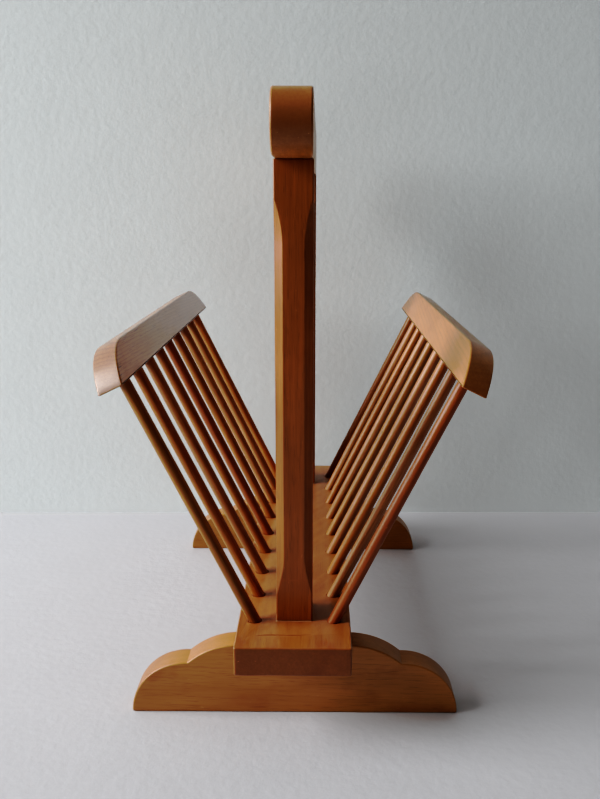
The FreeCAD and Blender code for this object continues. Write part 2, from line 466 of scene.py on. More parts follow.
        dull = sheet.maths("MULTIPLY", sheet.noise(grain, GLOSS_STRETCH, 3.0), self.roughness_change)
        dull = sheet.maths("ADD", dull, self.roughness - self.roughness_change / 2.0)
        dull = sheet.maths("ADD", dull, sheet.maths("MULTIPLY", end, self.end_roughness))
        sheet.join(dull, sheet.shader.inputs["Roughness"])
        sheet.shader.inputs["Coat Weight"].default_value = self.coat
        sheet.shader.inputs["Coat Roughness"].default_value = self.coat_roughness

        height = sheet.maths("MULTIPLY", fibres, self.relief.fibres)
        height = sheet.maths("ADD", height, sheet.maths("MULTIPLY", hairs, self.relief.hairs))
        height = sheet.maths("SUBTRACT", height, sheet.maths("MULTIPLY", pores, self.relief.pores))
        hollows = sheet.noise(grain, HOLLOW_STRETCH, 2.0)
        height = sheet.maths("ADD", height, sheet.maths("MULTIPLY", hollows, self.relief.hollows))
        sheet.bump(height, self.relief.strength, self.relief.height)
        return sheet.material

    def painted_crevice_shade(self, sheet: NodeSheet) -> bpy.types.NodeSocket:
        """Painted shade that darkens the wood where two pieces meet and inside hollows, from ambient
        occlusion.

        Args:
            sheet: Node sheet to add to.

        Returns:
            A number that is high inside a corner.
        """
        node = sheet.tree.nodes.new("ShaderNodeAmbientOcclusion")
        node.samples = 6
        node.inputs["Distance"].default_value = self.shade_reach
        return sheet.ramp(node.outputs["AO"], CREVICE_SHADE_STOPS)


@dataclass(frozen=True)
class SteelFinish:
    """Dull plain steel with a turned bloom and some brown rust."""

    name: str
    metal: Colour = (0.42, 0.41, 0.39)
    rust: Colour = (0.12, 0.05, 0.022)
    rust_stretch: Triple = (420.0, 420.0, 300.0)
    rust_stops: tuple[Point, Point] = ((0.50, 0.0), (0.66, 0.8))
    turning_stretch: Triple = (300.0, 300.0, 4200.0)
    turning_depth: float = 0.1 * MM
    metallic: float = 0.9
    roughness: float = 0.32
    roughness_change: float = 0.2

    def build(self) -> bpy.types.Material:
        """Make the material.

        Returns:
            The finished material.
        """
        sheet = NodeSheet(self.name)
        place = sheet.tree.nodes.new("ShaderNodeTexCoord").outputs["Object"]
        patches = sheet.ramp(sheet.noise(place, self.rust_stretch, 4.0), self.rust_stops)
        colour = sheet.blend(patches, self.metal, self.rust)
        sheet.join(colour, sheet.shader.inputs["Base Color"])
        sheet.shader.inputs["Metallic"].default_value = self.metallic
        turned = sheet.noise(place, self.turning_stretch, 2.0)
        rough = sheet.maths("ADD", sheet.maths("MULTIPLY", turned, self.roughness_change), self.roughness)
        sheet.join(rough, sheet.shader.inputs["Roughness"])
        sheet.bump(turned, 0.2, self.turning_depth)
        return sheet.material


@dataclass(frozen=True)
class PlainFinish:
    """Matt painted surface of the studio, with a faint mottle and roller marks."""

    name: str
    colour: Colour
    roughness: float = 0.85
    mottle: float = 0.035
    mottle_stretch: Triple = (16.0, 16.0, 16.0)
    roller_stretch: Triple = (130.0, 130.0, 130.0)
    roller_depth: float = 1.0 * MM
    one_sided: bool = False

    def build(self) -> bpy.types.Material:
        """Make the material.

        Returns:
            The finished material.
        """
        sheet = NodeSheet(self.name)
        place = sheet.tree.nodes.new("ShaderNodeTexCoord").outputs["Object"]
        cloud = sheet.noise(place, self.mottle_stretch, 6.0)
        darker = tuple(channel * (1.0 - self.mottle * 2.0) for channel in self.colour)
        sheet.join(sheet.blend(cloud, darker, self.colour), sheet.shader.inputs["Base Color"])
        sheet.shader.inputs["Roughness"].default_value = self.roughness
        sheet.bump(sheet.noise(place, self.roller_stretch, 4.0), 0.35, self.roller_depth)
        if self.one_sided:
            self.clear_from_behind(sheet)
        return sheet.material

    def clear_from_behind(self, sheet: NodeSheet) -> None:
        """Let light and sight through the back of the surface.

        Args:
            sheet: Node sheet to add to.
        """
        clear = sheet.tree.nodes.new("ShaderNodeBsdfTransparent")
        choose = sheet.tree.nodes.new("ShaderNodeMixShader")
        facing = sheet.tree.nodes.new("ShaderNodeNewGeometry")
        sheet.join(facing.outputs["Backfacing"], choose.inputs["Fac"])
        sheet.join(sheet.shader.outputs["BSDF"], choose.inputs[1])
        sheet.join(clear.outputs["BSDF"], choose.inputs[2])
        sheet.join(choose.outputs["Shader"], sheet.output.inputs["Surface"])


# ---------------------------------------------------------------------------------------------
# Outlines and shells
# ---------------------------------------------------------------------------------------------


# Points nearer to each other than this count as one.
SAME_PLACE = 0.02 * MM
# Most that the rounding of a corner takes of the run beside it, as a share.
MOST_OF_RUN = 0.45
# Places round an eased arris, in degrees: 90 on the face and 0 on the edge.
ARRIS_TURNS = (90.0, 62.0, 38.0, 16.0, 0.0)


class Outline:
    """Closed flat outline, drawn anticlockwise with straight runs and arcs."""

    def __init__(self) -> None:
        """Start with no points."""
        self.points: list[Vector] = []

    def to(self, u: float, v: float) -> None:
        """Add a point at the end of a straight run."""
        self.points.append(Vector((u, v)))

    def arc(self, centre: Point, radii: Point, start: float, end: float, steps: int) -> None:
        """Add points along an arc.

        Args:
            centre: Centre of the arc.
            radii: Radius along u and along v.
            start: First angle in degrees.
            end: Last angle in degrees.
            steps: Number of chords.
        """
        for step in range(steps + 1):
            angle = math.radians(start + (end - start) * step / steps)
            self.to(centre[0] + radii[0] * math.cos(angle), centre[1] + radii[1] * math.sin(angle))

    def without_doubles(self) -> list[Vector]:
        """Leave out each point that repeats its neighbour.

        Returns:
            The points that are kept.
        """
        kept: list[Vector] = []
        for point in self.points:
            if not kept or (point - kept[-1]).length > SAME_PLACE:
                kept.append(point)
        if (kept[0] - kept[-1]).length < SAME_PLACE:
            kept.pop()
        return kept

    def finished(self, corner: float, spacing: float) -> list[Vector]:
        """Points with sharp corners rounded and long runs divided.

        Args:
            corner: Radius of the rounded corners.
            spacing: Longest run that is left undivided.

        Returns:
            The points of the finished outline.
        """
        rounded = round_corners(self.without_doubles(), corner)
        return divide_runs(rounded, spacing)


def round_corners(points: Sequence[Vector], radius: float, steps: int = 3,
                  sharp: float = 24.0) -> list[Vector]:
    """Replace each sharp corner with a small arc.

    Args:
        points: Closed outline.
        radius: Radius of the arcs.
        steps: Chords in each arc.
        sharp: Turn in degrees above which a corner counts as sharp.

    Returns:
        The rounded outline.
    """
    result: list[Vector] = []
    for index, point in enumerate(points):
        before = points[index - 1] - point
        after = points[(index + 1) % len(points)] - point
        inside = before.angle(after)
        if math.degrees(math.pi - inside) < sharp:
            result.append(point)
            continue
        cut = min(radius / math.tan(inside / 2.0), before.length * MOST_OF_RUN, after.length * MOST_OF_RUN)
        start = point + before.normalized() * cut
        end = point + after.normalized() * cut
        for step in range(steps + 1):
            share = step / steps
            first = start.lerp(point, share)
            second = point.lerp(end, share)
            result.append(first.lerp(second, share))
    return result


def divide_runs(points: Sequence[Vector], spacing: float) -> list[Vector]:
    """Divide the long runs of a closed outline.

    Args:
        points: Closed outline.
        spacing: Longest run that is left undivided.

    Returns:
        The divided outline.
    """
    result: list[Vector] = []
    for index, point in enumerate(points):
        following = points[(index + 1) % len(points)]
        parts = max(1, math.ceil((following - point).length / spacing))
        result += [point.lerp(following, part / parts) for part in range(parts)]
    return result


@dataclass
class Shell:
    """Points and faces of one piece in its own space."""

    points: list[Vector] = field(default_factory=list)
    faces: list[tuple[int, ...]] = field(default_factory=list)

    def ring(self, points: Sequence[Vector]) -> list[int]:
        """Add a ring of points.

        Args:
            points: Points round the ring.

        Returns:
            The numbers of the new points.
        """
        start = len(self.points)
        self.points += points
        return list(range(start, start + len(points)))

    def band(self, first: Sequence[int], second: Sequence[int]) -> None:
        """Join two rings with quads.

        Args:
            first: Numbers of the first ring's points.
            second: Numbers of the second ring's points, as many as the first has.
        """
        count = len(first)
        for index in range(count):
            following = (index + 1) % count
            self.faces.append((first[index], first[following], second[following], second[index]))

    def cap(self, ring: Sequence[int], flipped: bool = False) -> None:
        """Close a ring with one face."""
        self.faces.append(tuple(reversed(ring)) if flipped else tuple(ring))

    def loft(self, sections: Sequence[Sequence[Vector]]) -> None:
        """Skin a run of sections and close both of its ends.

        Args:
            sections: Rings of points of equal length, in order.
        """
        rings = [self.ring(section) for section in sections]
        for first, second in zip(rings, rings[1:]):
            self.band(first, second)
        self.cap(rings[0], flipped=True)
        self.cap(rings[-1])


@dataclass(frozen=True)
class EasedBoard:
    """Board sawn to an outline, with its arrises eased and slightly knocked by use.

    Pitches are in cycles per metre. The swing and the knocks change the eased arris by a share of its size.
    """

    thickness: float
    ease: float = 1.2 * MM
    corner: float = 1.8 * MM
    spacing: float = 4.0 * MM
    rows: int = 4
    waver: float = 0.12 * MM
    waver_pitch: float = 30.0
    swing: float = 0.28
    swing_pitch: float = 45.0
    knocks: float = 0.5
    knock_gain: float = 2.4
    knock_level: float = 0.38
    knock_pitch: float = 130.0
    most_of_corner: float = 0.92
    seed: int = 0

    def arris(self, place: Vector) -> float:
        """Size of the eased arris at a place, larger where it has been knocked.

        Args:
            place: Place on the outline, with the face's side as its third number.

        Returns:
            The size in metres.
        """
        slow = noise.noise(place * self.swing_pitch + Vector((self.seed, 0.0, 0.0)))
        knock = noise.noise(place * self.knock_pitch + Vector((0.0, self.seed, 0.0))) - self.knock_level
        growth = 1.0 + self.swing * slow + self.knocks * self.knock_gain * max(0.0, knock)
        return min(self.ease * growth, self.corner * self.most_of_corner)

    def levels(self) -> list[Triple]:
        """Lay out the rings of the board, from its front face to its back.

        Returns:
            For each ring its turn round the arris in radians, the side of the nearer face, and its share of
            the way back.
        """
        levels = [(math.radians(turn), 1.0, 0.0) for turn in ARRIS_TURNS]
        levels += [(0.0, 1.0, row / self.rows) for row in range(1, self.rows)]
        return levels + [(math.radians(turn), -1.0, 1.0) for turn in reversed(ARRIS_TURNS)]

    def cut(self, outline: Outline) -> Shell:
        """Cut the board out.

        Args:
            outline: Outline in the board's own plane.

        Returns:
            The board, with its thickness along the third direction.
        """
        points = outline.finished(self.corner, self.spacing)
        inward = inward_normals(points)
        shell = Shell()
        rings = []
        half, pitch = self.thickness / 2.0, self.waver_pitch
        for turn, side, share in self.levels():
            ring = []
            for point, normal in zip(points, inward):
                size = self.arris(Vector((point.x, point.y, side)))
                spot = Vector((point.x * pitch, point.y * pitch, share + self.seed))
                waver = self.waver * abs(noise.noise(spot))
                inset = size * (1.0 - math.cos(turn)) + waver * math.cos(turn)
                top = half - size * (1.0 - math.sin(turn))
                level = top * (1.0 - 2.0 * share) if turn == 0.0 else side * top
                place = point + normal * inset
                ring.append(Vector((place.x, place.y, level)))
            rings.append(shell.ring(ring))
        for first, second in zip(rings, rings[1:]):
            shell.band(second, first)
        shell.cap(rings[0])
        shell.cap(rings[-1], flipped=True)
        return shell


def inward_normals(points: Sequence[Vector]) -> list[Vector]:
    """Unit vectors into an anticlockwise outline, one at each of its points.

    Args:
        points: Closed outline.

    Returns:
        The inward vectors.
    """
    result = []
    for index, point in enumerate(points):
        before = (point - points[index - 1]).normalized()
        after = (points[(index + 1) % len(points)] - point).normalized()
        run = before + after
        result.append(Vector((-run.y, run.x)).normalized())
    return result


# ---------------------------------------------------------------------------------------------
# Pieces
# ---------------------------------------------------------------------------------------------


@dataclass(frozen=True)
class Cut:
    """How a piece was cut from the log: where its heart lay and how its grain slopes."""

    heart: Point = (0.045, 0.02)
    along: float = 0.0
    slope: float = 0.0
    roll: float = 0.0

    def placing(self) -> Matrix:
        """Work out where the piece lay in the log.

        Returns:
            The matrix that turns a place in the piece into a place in the log.
        """
        roll, slope = math.radians(self.roll), math.radians(self.slope)
        turn = Matrix.Rotation(roll, 4, "X") @ Matrix.Rotation(slope, 4, "Z")
        return Matrix.Translation((self.along, *self.heart)) @ turn


@dataclass
class Piece:
    """One wooden piece: its shell, where it stands, and how its wood was cut."""

    name: str
    shell: Shell
    placing: Matrix
    cut: Cut
    finish: bpy.types.Material
    slot: Slot
    nodes: tuple[str, ...]
    smooth: float = 34.0
    tools: list[bpy.types.Object] = field(default_factory=list)

    def make(self) -> bpy.types.Object:
        """Build the object, dress it and tie it to the frame.

        Returns:
            The finished object.
        """
        piece = mesh_object(self.name, self.shell, self.placing)
        if self.tools:
            carve(piece, self.tools)
        self.mark_wood(piece.data)
        piece.data.materials.clear()
        piece.data.materials.append(self.finish)
        piece.data.shade_smooth()
        piece.data.set_sharp_from_angle(angle=math.radians(self.smooth))
        weigh = piece.modifiers.new("flat_faces", "WEIGHTED_NORMAL")
        weigh.keep_sharp = True
        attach(piece, BODY)
        if self.nodes:
            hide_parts(*self.nodes)
        stands_for = ", ".join(self.nodes) or "no CAD node"
        log.info("%s: %d faces, stands for %s", self.name, len(piece.data.polygons), stands_for)
        return piece

    def mark_wood(self, mesh: bpy.types.Mesh) -> None:
        """Store at each point its place in the log, its end grain, and how much it lies on an arris, where
        the wood is lightened as wear and as a painted highlight.

        Args:
            mesh: Mesh of the piece, in the frame's space.
        """
        home = self.placing.inverted()
        log_place = self.cut.placing()
        along = self.placing.to_3x3() @ Vector((1.0, 0.0, 0.0))
        places, ends, wear_and_highlight_values = [], [], []
        flatness = edge_flatness(mesh)
        for vertex, flat in zip(mesh.vertices, flatness):
            local = home @ vertex.co
            places += list(log_place @ local)
            ends.append(min(1.0, vertex.normal.dot(along) ** 2))
            wear_and_highlight_values.append(1.0 - flat)
        mesh.attributes.new("grain", "FLOAT_VECTOR", "POINT").data.foreach_set("vector", places)
        mesh.attributes.new("end_grain", "FLOAT", "POINT").data.foreach_set("value", ends)
        mesh.attributes.new("wear", "FLOAT", "POINT").data.foreach_set("value", wear_and_highlight_values)


def edge_flatness(mesh: bpy.types.Mesh) -> list[float]:
    """How flat the surface is round each point, from 0 on an arris to 1 on a face.

    Args:
        mesh: Mesh to measure.

    Returns:
        One number for each point.
    """
    arris_start, span = 0.86, 0.13
    least = [1.0] * len(mesh.vertices)
    for face in mesh.polygons:
        for number in face.vertices:
            least[number] = min(least[number], face.normal.dot(mesh.vertices[number].normal))
    return [max(0.0, min(1.0, (value - arris_start) / span)) for value in least]


def mesh_object(name: str, shell: Shell, placing: Matrix) -> bpy.types.Object:
    """Make an object from a shell, with its points already in the frame's space.

    Args:
        name: Name of the object.
        shell: Shell in its own space.
        placing: Matrix from that space to the frame's.

    Returns:
        The new object.
    """
    mesh = bpy.data.meshes.new(name)
    mesh.from_pydata([placing @ point for point in shell.points], [], shell.faces)
    if placing.to_3x3().determinant() < 0.0:
        mesh.flip_normals()
    mesh.validate()
    mesh.update()
    piece = bpy.data.objects.new(name, mesh)
    bpy.context.scene.collection.objects.link(piece)
    return piece


def carve(piece: bpy.types.Object, tools: Sequence[bpy.types.Object]) -> None:
    """Cut the shapes of closed tools out of a piece for good, and throw the tools away.

    Args:
        piece: Object to cut.
        tools: Closed objects that are removed from it.
    """
    chest = bpy.data.collections.new(piece.name + "_tools")
    for tool in tools:
        bpy.context.scene.collection.objects.unlink(tool)
        chest.objects.link(tool)
    bpy.context.scene.collection.children.link(chest)
    cutting = piece.modifiers.new("carve", "BOOLEAN")
    cutting.operation = "DIFFERENCE"
    cutting.solver = "MANIFOLD"
    cutting.operand_type = "COLLECTION"
    cutting.collection = chest
    bpy.context.view_layer.update()
    result = bpy.data.meshes.new_from_object(piece.evaluated_get(bpy.context.evaluated_depsgraph_get()))
    piece.modifiers.remove(cutting)
    old = piece.data
    piece.data = result
    bpy.data.meshes.remove(old)
    for tool in tools:
        bpy.data.objects.remove(tool)
    bpy.data.collections.remove(chest)
    open_edges = count_open_edges(piece.data)
    if open_edges:
        raise RuntimeError(f"{piece.name} has {open_edges} open edges after it was cut")


def count_open_edges(mesh: bpy.types.Mesh) -> int:
    """Number of edges that do not lie between exactly two faces."""
    uses = Counter(key for face in mesh.polygons for key in face.edge_keys)
    return sum(1 for count in uses.values() if count != 2)


def rod_shell(length: float, radii: Sequence[float], sides: int) -> Shell:
    """Round rod along the first direction, from 0 to its length.

    Args:
        length: Length of the rod.
        radii: Radius at evenly spaced stations.
        sides: Points round each station.

    Returns:
        The closed rod.
    """
    angles = [2.0 * math.pi * side / sides for side in range(sides)]
    sections = []
    for station, radius in enumerate(radii):
        x = length * station / (len(radii) - 1)
        sections.append([Vector((x, radius * math.cos(angle), radius * math.sin(angle))) for angle in angles])
    shell = Shell()
    shell.loft(sections)
    return shell


def placing_along(origin: Vector, along: Vector, across: Vector) -> Matrix:
    """Matrix that puts the first direction along one vector and the second towards another.

    Args:
        origin: Where the piece's own zero lies.
        along: Direction of the grain.
        across: Direction of the piece's second axis.

    Returns:
        The placing matrix.
    """
    first = along.normalized()
    third = first.cross(across).normalized()
    second = third.cross(first)
    rotation = Matrix((first, second, third)).transposed().to_4x4()
    return Matrix.Translation(origin) @ rotation


def node_centre(node: str) -> Vector:
    """Middle of a CAD node's box."""
    low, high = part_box(node)
    return (low + high) / 2.0


def node_size(node: str) -> Vector:
    """Size of a CAD node's box."""
    low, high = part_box(node)
    return high - low


# ---------------------------------------------------------------------------------------------
# Sub-assemblies
# ---------------------------------------------------------------------------------------------


@dataclass
class SpindleRow:
    """One leaning row of round spindles under its cap rail.

    The lean is in degrees, and the range of the bow is in millimetres.
    """

    side: Side
    finishes: dict[SpindleTone, bpy.types.Material]
    tones: Sequence[SpindleTone]
    rail_finish: bpy.types.Material
    rail_cut: Cut
    count: int = 9
    lean: float = 25.8
    rail_height: float = 27.0 * MM
    rail_thickness: float = 18.5 * MM
    rail_end_run: float = 50.0 * MM
    rail_end_steps: int = 14
    sides: int = 28
    stations: int = 15
    end_gap: float = 0.3 * MM
    waist: float = 0.10 * MM
    waist_pitch: float = 0.7
    bow_range: Point = (0.10, 0.42)

    @property
    def name(self) -> str:
        """Name of the row's side, as its CAD nodes have it."""
        return self.side.name.lower()

    def axis(self) -> Vector:
        """Direction up along the spindles."""
        angle = math.radians(self.lean)
        return Vector((self.side.value * math.sin(angle), 0.0, math.cos(angle)))

    def node(self, index: int) -> str:
        """Name of the CAD node of one spindle."""
        return f"{self.name}_spindle_{index + 1}"

    def foot_of(self, index: int) -> tuple[Vector, float, float]:
        """Lower end of one spindle's centre line.

        Args:
            index: Number of the spindle in its row.

        Returns:
            The lower end, the spindle's length and its diameter.
        """
        size = node_size(self.node(index))
        diameter = size.y
        angle = math.radians(self.lean)
        length = (size.z - diameter * math.sin(angle)) / math.cos(angle)
        return node_centre(self.node(index)) - self.axis() * (length / 2.0), length, diameter

    def make_spindle(self, index: int) -> bpy.types.Object:
        """Turn one spindle: not quite straight, and not quite the same all along.

        Args:
            index: Number of the spindle in its row.

        Returns:
            The finished spindle.
        """
        draw = random.Random(f"{self.name} spindle {index}")
        start, length, diameter = self.foot_of(index)
        length -= 2.0 * self.end_gap
        phase = draw.uniform(0.0, 10.0)
        spots = [Vector((phase, station * self.waist_pitch, 0.0)) for station in range(self.stations)]
        radii = [diameter / 2.0 - self.waist * (0.5 + 0.5 * noise.noise(spot)) for spot in spots]
        shell = rod_shell(length, radii, self.sides)
        bow = draw.uniform(*self.bow_range) * MM
        heading = draw.uniform(0.0, 2.0 * math.pi)
        for point in shell.points:
            lift = bow * math.sin(math.pi * point.x / length)
            point.y += lift * math.cos(heading)
            point.z += lift * math.sin(heading)
        spin = Matrix.Rotation(draw.uniform(0.0, 2.0 * math.pi), 4, "X")
        placing = placing_along(start + self.axis() * self.end_gap, self.axis(), TO_REAR) @ spin
        cut = Cut(heart=(draw.uniform(0.015, 0.05), draw.uniform(-0.03, 0.03)), along=draw.uniform(-4.0, 4.0),
                  slope=draw.uniform(-1.6, 1.6))
        finish = self.finishes[self.tones[index]]
        node = self.node(index)
        return Piece(node + "_turned", shell, placing, cut, finish, Slot.SPINDLE, (node,), smooth=50.0).make()

    def rail_outline(self, length: float) -> Outline:
        """Side of the cap rail: flat below, with ends that curve down from the top.

        Args:
            length: Length of the rail.

        Returns:
            The outline, with its lower edge on the first axis.
        """
        run, height, half = self.rail_end_run, self.rail_height, length / 2.0
        radius = (run ** 2 + height ** 2) / (2.0 * height)
        turn = math.degrees(math.asin(run / radius))
        flat = half - run
        outline = Outline()
        outline.to(-half, 0.0)
        outline.to(half, 0.0)
        outline.arc((flat, height - radius), (radius, radius), 90.0 - turn, 90.0, self.rail_end_steps)
        outline.arc((-flat, height - radius), (radius, radius), 90.0, 90.0 + turn, self.rail_end_steps)
        return outline

    def make_rail(self) -> bpy.types.Object:
        """Shape the cap rail.

        Returns:
            The finished rail.
        """
        node = self.name + "_cap_rail"
        size = node_size(node)
        seed = 11 + int(self.side.value)
        board = EasedBoard(self.rail_thickness, ease=1.3 * MM, corner=1.5 * MM, seed=seed)
        shell = board.cut(self.rail_outline(size.y))
        origin = node_centre(node) - self.axis() * (self.rail_height / 2.0)
        placing = placing_along(origin, TO_REAR, self.axis())
        return Piece(node + "_shaped", shell, placing, self.rail_cut, self.rail_finish, Slot.RAIL,
                     (node,)).make()

    def socket_tools(self, clearance: float, depth: float) -> list[bpy.types.Object]:
        """Drills for the spindle holes in the board's top.

        Args:
            clearance: How much wider than the spindle each hole is, all round.
            depth: Depth of the hole below the lower end of the spindle.

        Returns:
            One closed tool for each spindle.
        """
        tools = []
        for index in range(self.count):
            start, length, diameter = self.foot_of(index)
            shell = rod_shell(length / 2.0, [diameter / 2.0 + clearance] * 2, DRILL_SIDES)
            placing = placing_along(start - self.axis() * depth, self.axis(), TO_REAR)
            tools.append(mesh_object(f"{self.name}_drill_{index}", shell, placing))
        return tools

    def make(self) -> None:
        """Build the rail and every spindle of the row."""
        self.make_rail()
        for index in range(self.count):
            self.make_spindle(index)


@dataclass
class Base:
    """Base board on its two shaped feet, with their screws.

    The drying check has a radius at each station and is deeper than wide by its depth, as a factor.
    """

    board_finish: bpy.types.Material
    foot_finish: bpy.types.Material
    steel: bpy.types.Material
    toe_radius: float = 42.5 * MM
    shoulder_radius: float = 60.0 * MM
    step: float = 2.0 * MM
    toe_steps: int = 18
    shoulder_steps: int = 16
    bore_radius: float = 5.5 * MM
    bore_lead: float = 1.0 * MM
    bore_past_head: float = 3.0 * MM
    screw_spacing: float = 52.0 * MM
    check_place: Point = (14.0 * MM, 17.2 * MM)
    check_length: float = 41.0 * MM
    check_radii: Sequence[float] = (0.05 * MM, 0.34 * MM, 0.48 * MM, 0.36 * MM, 0.44 * MM, 0.26 * MM,
                                    0.05 * MM)
    check_sides: int = 6
    check_bend: float = 0.5 * MM
    check_pitch: float = 160.0
    check_depth: float = 3.0

    def foot_outline(self, width: float, height: float) -> Outline:
        """Front of a foot: quarter-round toes, a small step and larger shoulders.

        Args:
            width: Width over the toes.
            height: Height of the foot.

        Returns:
            The outline, with the floor along the first axis.
        """
        half = width / 2.0
        toe = half - self.toe_radius
        drop = height - self.toe_radius
        reach = self.shoulder_radius - drop
        run = math.sqrt(self.shoulder_radius ** 2 - reach ** 2)
        turn = math.degrees(math.acos(reach / self.shoulder_radius))
        top = max(toe - run - self.step, node_size("base_board").x / 2.0)
        low = height - self.shoulder_radius
        toes, shoulders = (self.toe_radius,) * 2, (self.shoulder_radius,) * 2
        outline = Outline()
        outline.to(-half, 0.0)
        outline.arc((toe, 0.0), toes, 0.0, 90.0, self.toe_steps)
        outline.arc((top, low), shoulders, 90.0 - turn, 90.0, self.shoulder_steps)
        outline.arc((-top, low), shoulders, 90.0, 90.0 + turn, self.shoulder_steps)
        outline.arc((-toe, 0.0), toes, 90.0, 180.0, self.toe_steps)
        return outline

    def make_foot(self, end: End, cut: Cut) -> bpy.types.Object:
        """Shape one foot and bore it for its screws.

        Args:
            end: Which end of the rack it stands at.
            cut: How the foot was cut from the log.

        Returns:
            The finished foot.
        """
        node = end.value + "_foot"
        size, centre = node_size(node), node_centre(node)
        board = EasedBoard(size.y, ease=1.1 * MM, corner=1.5 * MM, seed=21 if end is End.FRONT else 22)
        shell = board.cut(self.foot_outline(size.x, size.z))
        placing = placing_along(Vector((0.0, centre.y, 0.0)), TO_RIGHT, UP)
        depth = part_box("foot_screws")[0].z + self.bore_lead + self.bore_past_head
        tools = []
        for side in Side:
            place = Vector((side.value * self.screw_spacing / 2.0, centre.y, -self.bore_lead))
            bore = rod_shell(depth, [self.bore_radius] * 2, DRILL_SIDES)
            name = f"{end.value}_bore_{side.name.lower()}"
            tools.append(mesh_object(name, bore, placing_along(place, UP, TO_RIGHT)))
        return Piece(node + "_shaped", shell, placing, cut, self.foot_finish, Slot.FRAME, (node,),
                     tools=tools).make()

    def make_board(self, tools: list[bpy.types.Object]) -> bpy.types.Object:
        """Plane the base board and drill it for the spindles.

        Args:
            tools: Drills for the spindle sockets.

        Returns:
            The finished board.
        """
        size, centre = node_size("base_board"), node_centre("base_board")
        outline = Outline()
        for u, v in ((-1, -1), (1, -1), (1, 1), (-1, 1)):
            outline.to(u * size.y / 2.0, v * size.x / 2.0)
        board = EasedBoard(size.z, ease=1.1 * MM, corner=1.7 * MM, seed=31, knocks=0.9)
        shell = board.cut(outline)
        placing = placing_along(centre, TO_REAR, -TO_RIGHT)
        cut = Cut(heart=(0.012, 0.075), along=0.7, slope=1.2)
        tools.append(self.check_tool(centre.z + size.z / 2.0))
        return Piece("base_board_planed", shell, placing, cut, self.board_finish, Slot.FRAME, ("base_board",),
                     tools=tools).make()

    def check_tool(self, top: float) -> bpy.types.Object:
        """Thin wedge that leaves a drying check across the board's top near its front end.

        Args:
            top: Height of the board's top.

        Returns:
            The closed tool.
        """
        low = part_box("base_board")[0]
        start = Vector((low.x + self.check_place[0], low.y + self.check_place[1], top))
        shell = rod_shell(self.check_length, self.check_radii, self.check_sides)
        for point in shell.points:
            point.y += self.check_bend * math.sin(point.x * self.check_pitch)
            point.z *= self.check_depth
        return mesh_object("board_check", shell, placing_along(start, Vector((1.0, 0.04, 0.0)), TO_REAR))

    def make(self, tools: list[bpy.types.Object]) -> None:
        """Build the board and both feet, and dress the screws.

        Args:
            tools: Drills for the spindle sockets.
        """
        self.make_board(tools)
        self.make_foot(End.FRONT, Cut(heart=(0.055, 0.045), along=1.9, slope=0.8))
        self.make_foot(End.REAR, Cut(heart=(0.085, -0.03), along=-1.3, slope=-1.4))
        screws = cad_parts["foot_screws"]
        screws.data.materials.clear()
        screws.data.materials.append(self.steel)
        log.info("foot_screws: CAD node, dressed in steel")


